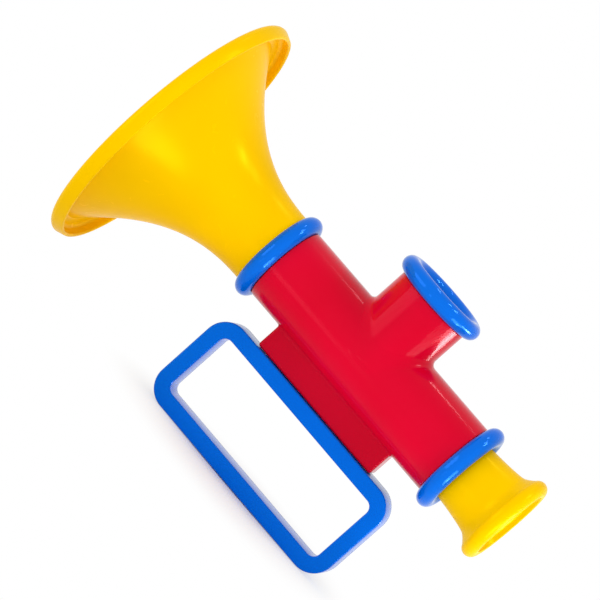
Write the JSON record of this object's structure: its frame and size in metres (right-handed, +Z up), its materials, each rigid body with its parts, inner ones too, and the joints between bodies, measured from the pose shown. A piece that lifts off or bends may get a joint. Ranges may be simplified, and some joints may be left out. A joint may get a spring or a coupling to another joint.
{
  "type": "toy trumpet",
  "caption": "Toddler's toy trumpet: flared bell, straight tube with an open tone-hole branch, rounded mouthpiece, coloured joint rings, flat loop handle and a free reed inside.",
  "frame": {"origin": "middle of the handle's flat foot, straight below the tone hole", "axes": "+X along the tube towards the mouthpiece, +Z up through the tone-hole branch, XZ is the plane of symmetry"},
  "size_m": [0.1944, 0.1124, 0.1247],
  "materials": {
    "yellow_plastic": "glossy moulded, yellow",
    "red_plastic": "glossy moulded, red",
    "ring_blue_plastic": "glossy moulded, blue",
    "handle_blue_plastic": "satin moulded, blue",
    "white_plastic": "plain moulded, white",
    "brass": "rolled sheet",
    "steel": "zinc plated"
  },
  "bodies": {
    "trumpet": {"bell": "yellow_plastic", "bell_ring": "ring_blue_plastic", "body": "red_plastic", "branch_ring": "ring_blue_plastic", "mouthpiece_ring": "ring_blue_plastic", "mouthpiece": "yellow_plastic", "handle": "handle_blue_plastic", "reed_holder": "white_plastic", "reed_plate": "brass", "reed_rivet": "brass", "plate_screw_front": "steel", "plate_screw_rear": "steel"},
    "reed": {"reed_tongue": "brass"}
  },
  "joints": [
    {"name": "reed_flex", "type": "hinge", "parent": "trumpet", "child": "reed", "pos_m": [0.03265, 0, 0.0713], "axis": [0, 1, 0], "range_deg": [-4, 4], "stiffness_Nm_per_rad": 0.001}
  ]
}
